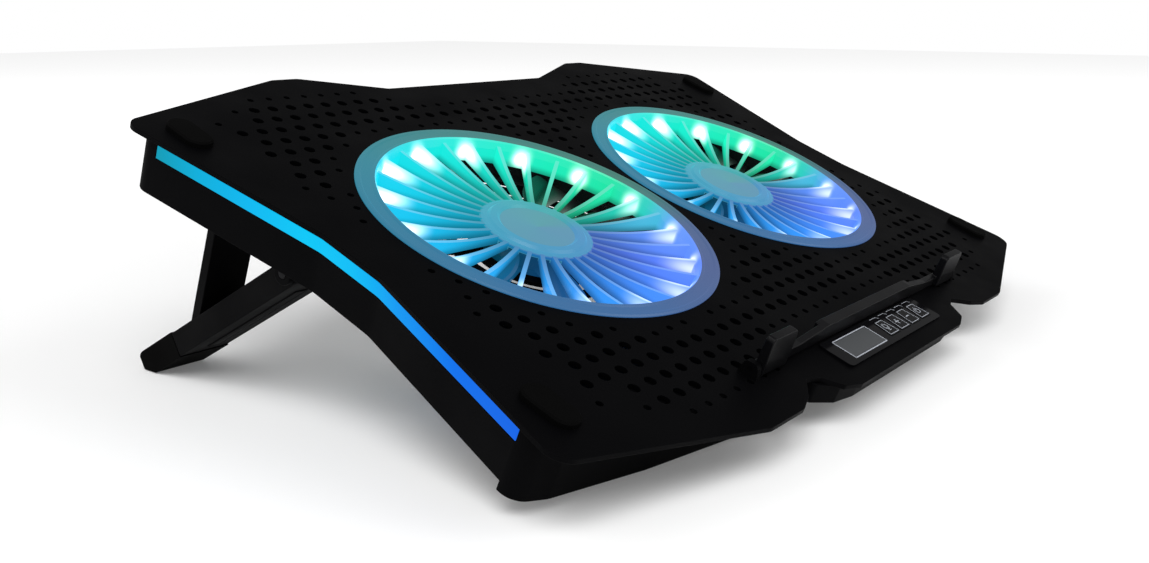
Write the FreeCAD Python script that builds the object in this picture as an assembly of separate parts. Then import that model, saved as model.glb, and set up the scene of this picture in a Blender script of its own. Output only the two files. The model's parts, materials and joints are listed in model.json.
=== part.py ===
import FreeCAD, Part
import math
import os

# Laptop cooling pad: a tilted, perforated plate on a shallow shell with two lit fans, a flip-up
# stopper, a control panel and a pair of propped folding legs. Millimetres.
# Everything is drawn in the pad's own frame (X right, Y back, Z out of the plate, origin midway
# between the fans on the plate's top face), then tilted and set down on the table by place().

V = FreeCAD.Vector

# ---- driving dimensions -------------------------------------------------------------------
tilt = 22.07            # plate angle above the table with the legs out, degrees
pad_half_width = 200.0  # half the plate's width
pad_back = 135.8        # rear edge of the plate's two ears
pad_front = 141.3       # front edge of the control tongue
waist_depth = 19.2      # how far each side is drawn in at the middle
plate_thickness = 2.0
side_overhang = 2.6     # plate beyond the shell's side walls
back_overhang = 5.0     # plate beyond the shell's back wall

wall_thickness = 2.2
skirt_bottom = -25.0    # lower edge of the side walls
chin_bottom = -28.5     # lower edge of the front wall
floor_bottom = -20.0    # underside of the shell's floor
floor_thickness = 2.0
front_wall_y = -121.0
table_distance = 69.5   # pad origin to table, square to the table

fan_pitch = 156.8       # between the two fan axes
ring_radius = 77.0      # outside of the guard's flange
ring_throat = 67.2      # inside of the guard's wall
ring_wall = 1.6
guard_bottom = -9.8
plate_hole_radius = 74.6
rib_count = 30
rib_thickness = 1.8
rib_phase = 10.4        # degrees from +X to the first rib
guard_hub_radius = 24.5
cap_radius = 16.0
cap_thickness = 0.5
blade_count = 9
blade_tip_radius = 65.8
blade_thickness = 1.4
blade_twist = 15.0      # degrees between a blade's lower and upper edge
blade_top = -10.4
blade_bottom = -15.4
rotor_hub_radius = 20.5
shaft_radius = 1.5
running_clearance = 0.05
led_count = 15

pitch_x = 9.385         # perforation pitch along a row
pitch_y = 9.085         # perforation row pitch
big_hole = 4.5
small_hole = 2.7

panel_half_width = 46.0
panel_back = -117.8
panel_front = -133.4
panel_height = 0.9
key_width = 9.4
key_pitch = 11.2
key_travel = 0.5
lcd_size = (28.6, 10.0)
lcd_centre = (-23.0, -125.4)

stopper_hinge = (-115.2, 3.2)
stopper_pin_radius = 1.1
upright_span = (74.6, 93.4)
upright_top = 16.0
upright_thickness = 4.0

strip_top = -4.0
strip_bottom = -9.0
strip_back = 95.0
strip_front = -93.0
strip_depth = 2.0

leg_hinge = (32.8, -26.6)
leg_angle = 39.4        # leg from square to the pad, towards the back
leg_length = 87.4       # hinge to the leg's moulded end
leg_outer = 175.6       # outer side of the leg, from the pad's middle plane
leg_width = 23.7
leg_depth = 10.4
leg_foot_length = 31.2
leg_end_slant = 5.0     # how much shorter the foot is on its inner side
leg_pin_radius = 2.0
prop_wall = 1.5         # leg wall on each side of the prop
prop_side_gap = 0.4
prop_thickness = 4.8
prop_pivot = 72.9       # along the leg from its hinge
prop_length = 55.1
prop_pin_radius = 1.5

screw_radius = 1.25
pilot_clearance = 0.05
fit_gap = 0.1           # between fixed pieces that sit in each other

# ---- values that follow from them ---------------------------------------------------------
plate_bottom = -plate_thickness
floor_top = floor_bottom + floor_thickness
fan_x = fan_pitch / 2
sides = (("left", -1), ("right", 1))
leg_middle = leg_outer - leg_width / 2
prop_width = leg_width - 2 * prop_wall - 2 * prop_side_gap


# ---- drawing helpers ----------------------------------------------------------------------
def rounded_wire(corners, z=0.0):
    """Closed wire through corners (x, y, radius), each turned by a tangent arc."""
    count = len(corners)
    trimmed = []
    for i, (x, y, radius) in enumerate(corners):
        here = V(x, y, z)
        before = V(corners[i - 1][0], corners[i - 1][1], z)
        after = V(corners[(i + 1) % count][0], corners[(i + 1) % count][1], z)
        back = (before - here).normalize()
        ahead = (after - here).normalize()
        half = back.getAngle(ahead) / 2
        if radius <= 0 or half > math.radians(89.5):
            trimmed.append((here, None, here))
            continue
        reach = radius / math.tan(half)
        middle = (back + ahead).normalize()
        centre = here + middle * (radius / math.sin(half))
        trimmed.append((here + back * reach, centre - middle * radius, here + ahead * reach))
    edges = []
    for i, (start, crown, end) in enumerate(trimmed):
        if crown is not None:
            edges.append(Part.Arc(start, crown, end).toShape())
        following = trimmed[(i + 1) % count][0]
        if (following - end).Length > 1e-6:
            edges.append(Part.LineSegment(end, following).toShape())
    return Part.Wire(edges)


def mirrored(half):
    """Whole outline from its right half, listed from the back middle to the front middle."""
    return half + [(-x, y, radius) for x, y, radius in reversed(half)]


def inset(corners, distance):
    """Outline moved inwards by a distance, its arcs kept concentric."""
    count = len(corners)
    moved = []
    for i, (x, y, radius) in enumerate(corners):
        here = V(x, y, 0)
        back = (here - V(corners[i - 1][0], corners[i - 1][1], 0)).normalize()
        nxt = corners[(i + 1) % count]
        ahead = (V(nxt[0], nxt[1], 0) - here).normalize()
        inward_a = V(back.y, -back.x, 0)
        inward_b = V(ahead.y, -ahead.x, 0)
        bisector = (inward_a + inward_b).normalize()
        place_at = here + bisector * (distance / bisector.dot(inward_a))
        turning_in = back.cross(ahead).z < 0
        kept = radius - distance if turning_in else radius + distance
        moved.append((place_at.x, place_at.y, max(kept, 0)))
    return moved


def slab(corners, low, high, holes=()):
    """Flat solid between two heights, with round or shaped holes given as wires at height low."""
    face = Part.Face([rounded_wire(corners, low)] + list(holes))
    return face.extrude(V(0, 0, high - low))


def circle(x, y, radius, z):
    return Part.Wire(Part.makeCircle(radius, V(x, y, z)))


def block(x0, x1, y0, y1, z0, z1):
    return Part.makeBox(x1 - x0, y1 - y0, z1 - z0, V(x0, y0, z0))


def plate_block(x0, x1, y0, y1, z0, z1, radius):
    """Block with its four upright edges rounded."""
    return slab([(x0, y1, radius), (x1, y1, radius), (x1, y0, radius), (x0, y0, radius)], z0, z1)


def rod(radius, start, end):
    return Part.makeCylinder(radius, (end - start).Length, start, end - start)


def x_rod(radius, x0, x1, y, z):
    return rod(radius, V(min(x0, x1), y, z), V(max(x0, x1), y, z))


def revolved(profile, x, y):
    """Ring or cup turned from a closed (radius, height) profile about an upright axis."""
    wire = Part.makePolygon([V(r, 0, z) for r, z in profile + [profile[0]]])
    solid = Part.Face(wire).revolve(V(0, 0, 0), V(0, 0, 1), 360)
    solid.translate(V(x, y, 0))
    return solid


def side_slab(profile, x0, x1):
    """Solid with a (y, z, radius) side profile, between two x positions."""
    wire = rounded_wire(profile)
    solid = Part.Face(wire).extrude(V(0, 0, abs(x1 - x0)))
    upright = FreeCAD.Rotation(V(0, 1, 0), V(0, 0, 1), V(1, 0, 0))
    solid.Placement = FreeCAD.Placement(V(min(x0, x1), 0, 0), upright)
    return solid


def flipped(shape):
    """The same piece on the other side of the pad's middle plane."""
    return shape.mirror(V(0, 0, 0), V(1, 0, 0))


def fused(shapes):
    whole = shapes[0].fuse(shapes[1:]) if len(shapes) > 1 else shapes[0]
    return whole.removeSplitter()


parts = {}

# ---- outlines -----------------------------------------------------------------------------
corner_x = pad_half_width - 0.6
waist_x = pad_half_width - waist_depth
ear_rise = 15.8
recess_back = pad_back - ear_rise
plate_outline = mirrored([
    (56, recess_back, 5),
    (98, pad_back, 8),
    (112, pad_back, 8),
    (corner_x, pad_back - 26.8, 7),
    (waist_x, 16, 16),
    (waist_x, -15, 16),
    (pad_half_width, -112.8, 9),
    (116, -137.8, 8),
    (93, -137.8, 4),
    (84, -134.5, 4),
    (73.5, -127.8, 1.5),
    (67, -130.5, 1.5),
    (61, -138.4, 2),
    (52, -pad_front, 2),
])
body_x = waist_x - side_overhang
body_outline = mirrored([
    (57, recess_back - back_overhang, 4),
    (98, pad_back - back_overhang - 0.8, 6),
    (112, pad_back - back_overhang - 0.8, 6),
    (body_x + 17, pad_back - 31.8, 7),
    (body_x, 17, 18),
    (body_x, -14, 18),
    (body_x + 16, -99, 8),
    (body_x + 3, -104, 5),
    (86, front_wall_y, 5),
])
table_normal = V(0, math.sin(math.radians(tilt)), math.cos(math.radians(tilt)))


def below_table(distance):
    """Everything under a plane parallel to the table, a distance from the pad's origin."""
    size = 900.0
    solid = Part.makeBox(size, size, size, V(-size / 2, -size / 2, -size))
    solid.rotate(V(0, 0, 0), V(1, 0, 0), -tilt)
    solid.translate(table_normal * -distance)
    return solid


# ---- perforated top plate -----------------------------------------------------------------
# Each row: row number, then runs of big holes and runs of small ones, in pitches from the middle.
# Odd rows stand half a pitch over, so their runs start and end on a half.
perforation = [
    (13, [], [(8.5, 14.5)]),
    (12, [(8, 15)], [(7, 7), (16, 16)]),
    (11, [(6.5, 15.5)], [(0.5, 5.5), (17.5, 17.5)]),
    (10, [(0, 17)], []),
    (9, [(0.5, 3.5), (12.5, 16.5)], [(4.5, 7.5), (9.5, 11.5)]),
    (8, [(0, 3), (14, 17)], [(4, 4), (13, 13)]),
    (7, [(0.5, 1.5), (15.5, 16.5)], [(2.5, 2.5), (14.5, 14.5)]),
    (6, [(0, 0), (16, 17)], [(1, 1), (15, 15)]),
    (5, [(16.5, 16.5)], [(0.5, 0.5), (17.5, 17.5)]),
    (4, [], [(0, 0), (16, 17)]),
    (3, [], [(16.5, 16.5)]),
    (2, [], [(17, 17)]),
]


def perforation_holes(z):
    wires = []
    for row, big_runs, small_runs in perforation:
        for diameter, runs in ((big_hole, big_runs), (small_hole, small_runs)):
            for first, last in runs:
                for step in range(int(round(last - first)) + 1):
                    x = (first + step) * pitch_x
                    for sign_x in ((1,) if x == 0 else (1, -1)):
                        for sign_y in (1, -1):
                            wires.append(circle(sign_x * x, sign_y * row * pitch_y, diameter / 2, z))
    return wires


window_half_width = panel_half_width - 2.5
window_back = panel_back - 1.4
window_front = panel_front + 1.6
panel_window = [(-window_half_width, window_front, 1), (window_half_width, window_front, 1),
                (window_half_width, window_back, 1), (-window_half_width, window_back, 1)]
plate_holes = perforation_holes(plate_bottom)
for _, sign in sides:
    plate_holes.append(circle(sign * fan_x, 0, plate_hole_radius, plate_bottom))
plate_holes.append(rounded_wire(panel_window, plate_bottom))
parts["mesh_plate"] = slab(plate_outline, plate_bottom, 0, plate_holes)

# ---- upper frame under the plate ----------------------------------------------------------
screw_spots = [(104, 119), (180, 94), (166, -14), (178, -92), (106, -108)]
screw_spots += [(-x, y) for x, y in screw_spots]
frame_thickness = 2.0
frame_bottom = plate_bottom - frame_thickness
frame_outer = inset(body_outline, wall_thickness + fit_gap)
frame_inner = inset(body_outline, 14.0)
frame = slab(frame_outer, frame_bottom, plate_bottom)
frame = frame.cut(slab(frame_inner, frame_bottom, plate_bottom))
ears = [rod(5.0, V(x, y, frame_bottom), V(x, y, plate_bottom)) for x, y in screw_spots]
frame = fused([frame] + ears)
for x, y in screw_spots:
    frame = frame.cut(rod(screw_radius + pilot_clearance, V(x, y, frame_bottom), V(x, y, plate_bottom)))
tray_clear = block(-72.5, 72.5, -140, -111, frame_bottom - 9, plate_bottom)
for _, sign in sides:
    fan_clear = Part.makeCylinder(plate_hole_radius + 1.5, frame_thickness, V(sign * fan_x, 0, frame_bottom))
    frame = frame.cut(fan_clear)
parts["upper_frame"] = frame.cut(tray_clear).common(slab(frame_outer, frame_bottom, plate_bottom))

# ---- bottom shell -------------------------------------------------------------------------
shell_top = plate_bottom
shell = slab(body_outline, skirt_bottom, shell_top)
chin = slab(body_outline, chin_bottom, skirt_bottom).common(block(-300, 300, -300, -92, -40, 0))
shell = shell.fuse(chin)
inner_outline = inset(body_outline, wall_thickness)
shell = shell.cut(slab(inner_outline, floor_top, shell_top))
shell = shell.cut(slab(inner_outline, chin_bottom, floor_bottom))
shell = shell.cut(below_table(table_distance - 1.2))

grille_bars = 8
grille_first = 26.0
grille_last = 62.0
grille_step = 9.0
grille_slot = 5.0


def intake_grille(x):
    """Curved slots under a fan, left by rings and straight bars."""
    slots = []
    radius = grille_first
    while radius <= grille_last:
        ring = Part.makeCylinder(radius + grille_slot, floor_thickness, V(x, 0, floor_bottom))
        slots.append(ring.cut(Part.makeCylinder(radius, floor_thickness, V(x, 0, floor_bottom))))
        radius += grille_step
    bars = []
    for i in range(grille_bars):
        bar = block(x, x + ring_radius, -2.0, 2.0, floor_bottom, floor_top)
        bar.rotate(V(x, 0, 0), V(0, 0, 1), 360.0 * (i + 0.5) / grille_bars)
        bars.append(bar)
    bar_set = bars[0].fuse(bars[1:])
    return [slot.cut(bar_set) for slot in slots]


for _, sign in sides:
    for slot in intake_grille(sign * fan_x):
        shell = shell.cut(slot)

posts = []
for x, y in screw_spots:
    posts.append(rod(4.0, V(x, y, floor_top), V(x, y, frame_bottom)))
shell = shell.fuse([post.common(slab(inset(body_outline, 1.0), skirt_bottom, shell_top)) for post in posts])
for x, y in screw_spots:
    shell = shell.cut(rod(screw_radius + pilot_clearance, V(x, y, floor_bottom), V(x, y, frame_bottom)))
    shell = shell.cut(rod(2.9, V(x, y, floor_bottom), V(x, y, floor_bottom + 1.2)))

fan_screw_radius = 72.6
fan_screw_spots = []
for _, sign in sides:
    for angle in (45, 135, 225, 315):
        fan_screw_spots.append((sign * fan_x + fan_screw_radius * math.cos(math.radians(angle)),
                                fan_screw_radius * math.sin(math.radians(angle))))
shell = shell.fuse([rod(3.4, V(x, y, floor_bottom - 3.0), V(x, y, floor_bottom)) for x, y in fan_screw_spots])
for x, y in fan_screw_spots:
    shell = shell.cut(rod(screw_radius + pilot_clearance, V(x, y, floor_bottom - 2.6), V(x, y, floor_top)))

# windows for the two light strips, the tray's seat and the two sockets
window_low = strip_bottom - fit_gap
window_high = strip_top + fit_gap
for _, sign in sides:
    window = slab(body_outline, window_low, window_high).cut(slab(inner_outline, window_low, window_high))
    reach = block(110, 300, strip_front - fit_gap, strip_back + fit_gap, window_low, window_high)
    shell = shell.cut(window.common(reach if sign > 0 else flipped(reach)))
tray_bottom = -10.0
shell = shell.cut(block(-72.2, 72.2, -130, -112, tray_bottom - fit_gap, shell_top))
socket_size = (14.4, 14.0, 6.8)
socket_x = 14.0
board_thickness = 1.6
usb_board_bottom = floor_top + 0.8
socket_bottom = usb_board_bottom + board_thickness
socket_front_y = recess_back - back_overhang
socket_clear = socket_size[0] / 2 + 0.3
for _, sign in sides:
    shell = shell.cut(block(sign * socket_x - socket_clear, sign * socket_x + socket_clear,
                            socket_front_y - 6, socket_front_y + 6,
                            socket_bottom - 0.1, socket_bottom + socket_size[2] + 0.3))

# ears that carry each leg's hinge pin
ear_thickness = 2.6
ear_gap = 0.6
ear_reach = 4.6


def hinge_ear(x0):
    y, z = leg_hinge
    ear = block(x0, x0 + ear_thickness, y - ear_reach, y + ear_reach, z, floor_bottom)
    ear = ear.fuse(x_rod(ear_reach, x0, x0 + ear_thickness, y, z))
    return ear.cut(x_rod(leg_pin_radius + fit_gap, x0 - 1, x0 + ear_thickness + 1, y, z))


ears = []
pin_inner = leg_outer - leg_width - ear_gap - ear_thickness
pin_outer = leg_outer + ear_gap + ear_thickness
for _, sign in sides:
    for x0 in (leg_outer + ear_gap, pin_inner):
        ears.append(hinge_ear(x0) if sign > 0 else flipped(hinge_ear(x0)))
shell = shell.fuse(ears)
for _, sign in sides:
    shell = shell.cut(x_rod(leg_pin_radius + fit_gap, sign * pin_inner, sign * pin_outer, *leg_hinge))
parts["bottom_shell"] = shell.removeSplitter()

# ---- side light strips --------------------------------------------------------------------
for side, sign in sides:
    lens = slab(body_outline, strip_bottom, strip_top)
    lens = lens.cut(slab(inset(body_outline, strip_depth), strip_bottom, strip_top))
    reach = block(110, 300, strip_front, strip_back, strip_bottom, strip_top)
    parts["light_strip_" + side] = lens.common(reach if sign > 0 else flipped(reach))
    back_face = inset(body_outline, wall_thickness + 0.3)
    strip_board = slab(back_face, strip_bottom, strip_top)
    strip_board = strip_board.cut(slab(inset(body_outline, wall_thickness + 1.1), strip_bottom, strip_top))
    board_reach = block(110, 300, strip_front + 8, strip_back - 8, strip_bottom, strip_top)
    parts["strip_board_" + side] = strip_board.common(board_reach if sign > 0 else flipped(board_reach))

# ---- fans ---------------------------------------------------------------------------------
# Each fan: a frosted guard let into the plate with lamps round its wall, and under it a black
# housing with the motor and a nine-bladed rotor.
ring_outside = ring_throat + ring_wall
guard_profile = [
    (ring_throat, guard_bottom), (ring_outside, guard_bottom), (ring_outside, plate_bottom - 1.0),
    (plate_hole_radius - 0.3, plate_bottom - 1.0), (plate_hole_radius - 0.3, 0.0), (ring_radius, 0.0),
    (ring_radius, 0.4), (ring_radius - 0.8, 0.9), (ring_radius - 1.9, 0.9), (ring_radius - 2.7, 0.4),
    (ring_throat + 3.4, 0.3), (ring_throat + 2.6, 0.7), (ring_throat + 1.8, 0.7), (ring_throat + 1.2, 0.0),
    (ring_throat, -3.0),
]
rib_bottom = guard_bottom + 0.2
rib_outer_top = -1.4            # where a rib's upper edge meets the wall
rib_inner_top = -6.3            # where it meets the hub
hub_rim_top = -5.2
cap_seat = -6.1 - cap_thickness
guard_hub_profile = [
    (0, -8.6), (guard_hub_radius - 1.0, -8.6), (guard_hub_radius, -7.6), (guard_hub_radius, -6.8),
    (guard_hub_radius - 1.8, -6.2), (guard_hub_radius - 3.0, -6.2), (guard_hub_radius - 4.2, hub_rim_top),
    (cap_radius + 1.4, hub_rim_top), (cap_radius + fit_gap, -6.1), (cap_radius + fit_gap, cap_seat),
    (0, cap_seat),
]
led_board_radius = ring_outside + 2.2
led_size = (1.6, 5.0, 4.0)      # radial, along the ring, upright
led_middle_z = -6.2
housing_wall_top = guard_bottom - 0.1
housing_base_top = -16.2
motor_boss_top = -12.8
stator_low = -15.0
stator_high = -11.8


def guard():
    """Flange, wall, dished radial ribs and stepped hub, moulded in one."""
    inner = guard_hub_radius - 1.5
    outer = ring_throat + 0.8
    corners = [V(outer, 0, rib_outer_top), V(outer, 0, rib_bottom), V(inner, 0, rib_bottom),
               V(inner, 0, rib_inner_top)]
    dish = Part.Arc(corners[3], V((inner + outer) / 2 + 1.5, 0, rib_inner_top + 1.2), corners[0]).toShape()
    straight = [Part.LineSegment(corners[i], corners[i + 1]).toShape() for i in range(3)]
    wire = Part.Wire(straight + [dish])
    rib = Part.Face(wire).extrude(V(0, rib_thickness, 0))
    rib.translate(V(0, -rib_thickness / 2, 0))
    ribs = []
    for i in range(rib_count):
        copy = rib.copy()
        copy.rotate(V(0, 0, 0), V(0, 0, 1), rib_phase + 360.0 * i / rib_count)
        ribs.append(copy)
    return revolved(guard_profile, 0, 0).fuse([revolved(guard_hub_profile, 0, 0)] + ribs)


def blade_section(z, turn):
    """Bowed strip from the hub to the tip, turned about the fan axis."""
    root = rotor_hub_radius - 0.8
    bow = 6.0
    half = blade_thickness / 2
    middle = (root + blade_tip_radius) / 2
    near = Part.Arc(V(root, -half, z), V(middle, bow - half, z), V(blade_tip_radius, -half, z))
    far = Part.Arc(V(blade_tip_radius, half, z), V(middle, bow + half, z), V(root, half, z))
    tip = Part.LineSegment(V(blade_tip_radius, -half, z), V(blade_tip_radius, half, z))
    heel = Part.LineSegment(V(root, half, z), V(root, -half, z))
    wire = Part.Wire([near.toShape(), tip.toShape(), far.toShape(), heel.toShape()])
    wire.rotate(V(0, 0, 0), V(0, 0, 1), turn)
    return wire


def rotor():
    bore = shaft_radius + 0.02
    skirt = rotor_hub_radius - 1.6
    cup = revolved([(bore, -12.4), (3.2, -12.4), (3.2, -11.4), (skirt, -11.4), (skirt, -15.6),
                    (rotor_hub_radius, -15.6), (rotor_hub_radius, -10.8), (rotor_hub_radius - 0.8, -10.0),
                    (bore, -10.0)], 0, 0)
    lower = blade_section(blade_bottom, -blade_twist)
    blade = Part.makeLoft([lower, blade_section(blade_top, 0)], True, True)
    blades = []
    for i in range(blade_count):
        copy = blade.copy()
        copy.rotate(V(0, 0, 0), V(0, 0, 1), 360.0 * i / blade_count)
        blades.append(copy)
    return cup.fuse(blades)


def fan_housing():
    """Open black frame: duct wall, four arms and the motor boss."""
    thickness = housing_base_top - floor_top
    annulus = Part.makeCylinder(75.6, thickness, V(0, 0, floor_top))
    duct = Part.makeCylinder(ring_outside + 0.6, housing_wall_top - floor_top, V(0, 0, floor_top))
    pieces = [annulus.fuse(duct).cut(Part.makeCylinder(ring_throat, 20, V(0, 0, floor_top)))]
    pieces.append(Part.makeCylinder(21.0, thickness, V(0, 0, floor_top)))
    for i in range(4):
        arm = block(18, 68, -3.0, 3.0, floor_top, housing_base_top)
        arm.rotate(V(0, 0, 0), V(0, 0, 1), 90.0 * i + 22.5)
        pieces.append(arm)
    boss_height = motor_boss_top - housing_base_top
    pieces.append(Part.makeCylinder(5.0, boss_height, V(0, 0, housing_base_top)))
    housing = fused(pieces).cut(Part.makeCylinder(3.65, boss_height, V(0, 0, housing_base_top)))
    for sx, sy in fan_screw_spots:
        if sx > 0:
            x = sx - fan_x
            housing = housing.cut(rod(screw_radius + 0.3, V(x, sy, floor_top), V(x, sy, housing_base_top)))
    return housing


def stator():
    pieces = [revolved([(5.1, stator_low), (7.4, stator_low), (7.4, stator_high), (5.1, stator_high)], 0, 0)]
    for i in range(4):
        arm = block(6, 12, -1.6, 1.6, stator_low + 0.4, stator_high - 0.4)
        coil = block(7.6, 11.4, -3.4, 3.4, stator_low, stator_high)
        shoe = revolved([(12, stator_low + 0.4), (14.6, stator_low + 0.4), (14.6, stator_high - 0.4),
                         (12, stator_high - 0.4)], 0, 0)
        shoe = shoe.common(block(0, 20, -8.2, 8.2, stator_low, stator_high))
        for piece in (arm, coil, shoe):
            piece.rotate(V(0, 0, 0), V(0, 0, 1), 90.0 * i)
            pieces.append(piece)
    return fused(pieces)


def light_ring():
    """Flexible board round the guard's wall with its lamps facing in."""
    height = led_size[2] + 1.6
    low = led_middle_z - height / 2
    band = revolved([(led_board_radius, low), (led_board_radius + 0.4, low),
                     (led_board_radius + 0.4, low + height), (led_board_radius, low + height)], 0, 0)
    lamps = []
    deep, along, tall = led_size
    for i in range(led_count):
        lamp = block(led_board_radius - deep, led_board_radius + 0.2, -along / 2, along / 2,
                     led_middle_z - tall / 2, led_middle_z + tall / 2)
        lamp.rotate(V(0, 0, 0), V(0, 0, 1), 360.0 * i / led_count + 0.5)
        lamps.append(lamp)
    return band.fuse(lamps)


def bearing():
    low = housing_base_top + 0.1
    top = -12.4 - 0.3
    bore = shaft_radius + running_clearance
    return revolved([(bore, low), (3.6, low), (3.6, top), (bore, top)], 0, 0)


def magnet():
    inner = 15.6
    outer = rotor_hub_radius - 1.7
    return revolved([(inner, -15.2), (outer, -15.2), (outer, -11.6), (inner, -11.6)], 0, 0)


fan_pieces = {
    "fan_guard": guard(),
    "fan_cap": Part.makeCylinder(cap_radius, cap_thickness, V(0, 0, cap_seat)),
    "fan_lights": light_ring(),
    "fan_housing": fan_housing(),
    "fan_stator": stator(),
    "fan_bearing": bearing(),
    "fan_shaft": rod(shaft_radius, V(0, 0, housing_base_top + 0.3), V(0, 0, -10.2)),
    "fan_magnet": magnet(),
    "fan_rotor": rotor(),
}
for side, sign in sides:
    for name, piece in fan_pieces.items():
        moved = piece.copy()
        moved.translate(V(sign * fan_x, 0, 0))
        parts[name + "_" + side] = moved

# ---- control panel ------------------------------------------------------------------------
lens = plate_block(-panel_half_width, panel_half_width, panel_front, panel_back, 0, panel_height, 2.0)
lcd_x, lcd_y = lcd_centre
lcd_w, lcd_d = lcd_size
lens = lens.cut(plate_block(lcd_x - lcd_w / 2 - fit_gap, lcd_x + lcd_w / 2 + fit_gap,
                            lcd_y - lcd_d / 2 - fit_gap, lcd_y + lcd_d / 2 + fit_gap, 0, panel_height, 0.6))
key_names = ("light_button", "speed_up_button", "speed_down_button", "power_button")
key_slant = 1.4
key_depth = 9.6
key_y = lcd_y
key_flange = 0.5


def key_outline(x, grow):
    """Four-sided key, narrower at the back; grow moves every side out."""
    w = key_width / 2 + grow
    d = key_depth / 2 + grow
    return [(x - w + key_slant, key_y + d, 0.6), (x + w - key_slant * 0.4, key_y + d, 0.6),
            (x + w, key_y - d, 0.6), (x - w, key_y - d, 0.6)]


board_bottom = -7.0
control_board_thickness = 1.2
board_top = board_bottom + control_board_thickness
switch_top = board_top + 2.6
switches = []
for i, name in enumerate(key_names):
    x = 2.8 + key_pitch * i
    lens = lens.cut(slab(key_outline(x, 0.2), 0, panel_height))
    cap = slab(key_outline(x, 0), -0.2, panel_height + 0.2)
    flange = slab(key_outline(x, key_flange), -1.0, -0.2)
    stem = rod(1.6, V(x, key_y, switch_top + key_travel + 0.1), V(x, key_y, -0.9))
    parts[name] = fused([cap, flange, stem])
    switches.append(block(x - 3, x + 3, key_y - 3, key_y + 3, board_top, switch_top))
parts["control_lens"] = lens
parts["lcd_module"] = plate_block(lcd_x - lcd_w / 2, lcd_x + lcd_w / 2, lcd_y - lcd_d / 2, lcd_y + lcd_d / 2,
                                  -3.0, panel_height, 0.5)
parts["key_switches"] = Part.makeCompound(switches)

tray_wall = 1.6
tray_outline = mirrored([(70, -112.4, 1.5), (70, -131.0, 2), (59, -136.4, 2), (46, -138.2, 2)])
tray = slab(tray_outline, tray_bottom, plate_bottom)
tray = tray.cut(slab(inset(tray_outline, tray_wall), tray_bottom + tray_wall, plate_bottom))
standoffs = [rod(2.2, V(x, y, tray_bottom + tray_wall), V(x, y, board_bottom))
             for x in (-46, 46) for y in (-116.5, -132.0)]
parts["control_tray"] = fused([tray] + standoffs)
board = block(-50, 50, -135.0, -114.5, board_bottom, board_top)
lcd_carrier = block(lcd_x - 13, lcd_x + 13, lcd_y - 4.6, lcd_y + 4.6, board_top, -3.0)
parts["control_board"] = board.fuse(lcd_carrier).removeSplitter()

# ---- sockets at the back ------------------------------------------------------------------
usb_board = block(-30, 30, socket_front_y - wall_thickness - 20, socket_front_y - wall_thickness - 0.2,
                  usb_board_bottom, socket_bottom)
board_feet = [block(x - 2, x + 2, socket_front_y - wall_thickness - 18, socket_front_y - wall_thickness - 4,
                    floor_top, usb_board_bottom) for x in (-27, 27)]
parts["usb_board"] = fused([usb_board] + board_feet)
for side, sign in sides:
    w, d, h = socket_size
    x = sign * socket_x
    mouth = socket_front_y - 0.4
    case = block(x - w / 2, x + w / 2, mouth - d, mouth, socket_bottom, socket_bottom + h)
    case = case.cut(block(x - w / 2 + 0.5, x + w / 2 - 0.5, mouth - d + 1.0, mouth, socket_bottom + 0.5,
                          socket_bottom + h - 0.5))
    tongue = block(x - 5.6, x + 5.6, mouth - d + 1.0, mouth - 2.0,
                   socket_bottom + h - 2.9, socket_bottom + h - 1.2)
    parts["usb_socket_" + side] = case.fuse(tongue)

# ---- stopper ------------------------------------------------------------------------------
hinge_y, hinge_z = stopper_hinge
bar_low = 0.8
bar_top_middle = 8.0
bar_top_end = 5.2
bar_front = hinge_y - 1.8
bar_back = hinge_y + 2.9
x0, x1 = upright_span
bar_face = [(-x1, bar_low, 0), (-x1, bar_top_end, 0), (-62, bar_top_end, 3), (-40, bar_top_middle, 3),
            (40, bar_top_middle, 3), (62, bar_top_end, 3), (x1, bar_top_end, 0), (x1, bar_low, 0)]


def front_slab(outline, y0, y1):
    """Solid with an (x, z, radius) front outline, between two y positions."""
    solid = Part.Face(rounded_wire(outline)).extrude(V(0, 0, y1 - y0))
    solid.rotate(V(0, 0, 0), V(1, 0, 0), 90)
    solid.translate(V(0, y1, 0))
    return solid


bar = front_slab(bar_face, bar_front, bar_back)
for _, sign in sides:
    bow = block(44, 300, bar_back - 1.6, bar_back + 1, 0, 20)
    bar = bar.cut(bow if sign > 0 else flipped(bow))
# the lower back edge is rounded about the hinge, so that it clears the plate as it turns
swing_radius = hinge_z - 0.3
heel = block(-x1, x1, hinge_y, bar_back + 1, bar_low - 1, hinge_z)
bar = bar.cut(heel.cut(x_rod(swing_radius, -x1 - 1, x1 + 1, hinge_y, hinge_z)))
upright_front = hinge_y - 3.6
uprights = []
for _, sign in sides:
    face = [(x0, bar_low, 0), (x0, upright_top - 1.2, 1.5), (x0 + 2.0, upright_top, 1.5),
            (x1 - 1.0, upright_top, 1.5), (x1, upright_top - 1.5, 1.5), (x1, bar_low, 0)]
    upright = front_slab(face, upright_front, upright_front + upright_thickness)
    lean = side_slab([(upright_front - 1, bar_low - 1, 0), (upright_front - 1, 30, 0),
                      (upright_front + 1.4, 30, 0), (upright_front, 6, 0),
                      (upright_front, bar_low - 1, 0)], x0 - 1, x1 + 1)
    upright = upright.cut(lean)
    uprights.append(upright if sign > 0 else flipped(upright))
stopper = fused([bar] + uprights)
bracket_width = 3.0
bracket_gap = 0.5
pin_in = x0 + 8.0
for _, sign in sides:
    bore = stopper_pin_radius + running_clearance
    stopper = stopper.cut(x_rod(bore, sign * pin_in, sign * (x1 + 1), hinge_y, hinge_z))
parts["stopper"] = stopper
stopper_pins = []
bracket_in = x1 + bracket_gap
bracket_out = bracket_in + bracket_width
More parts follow.
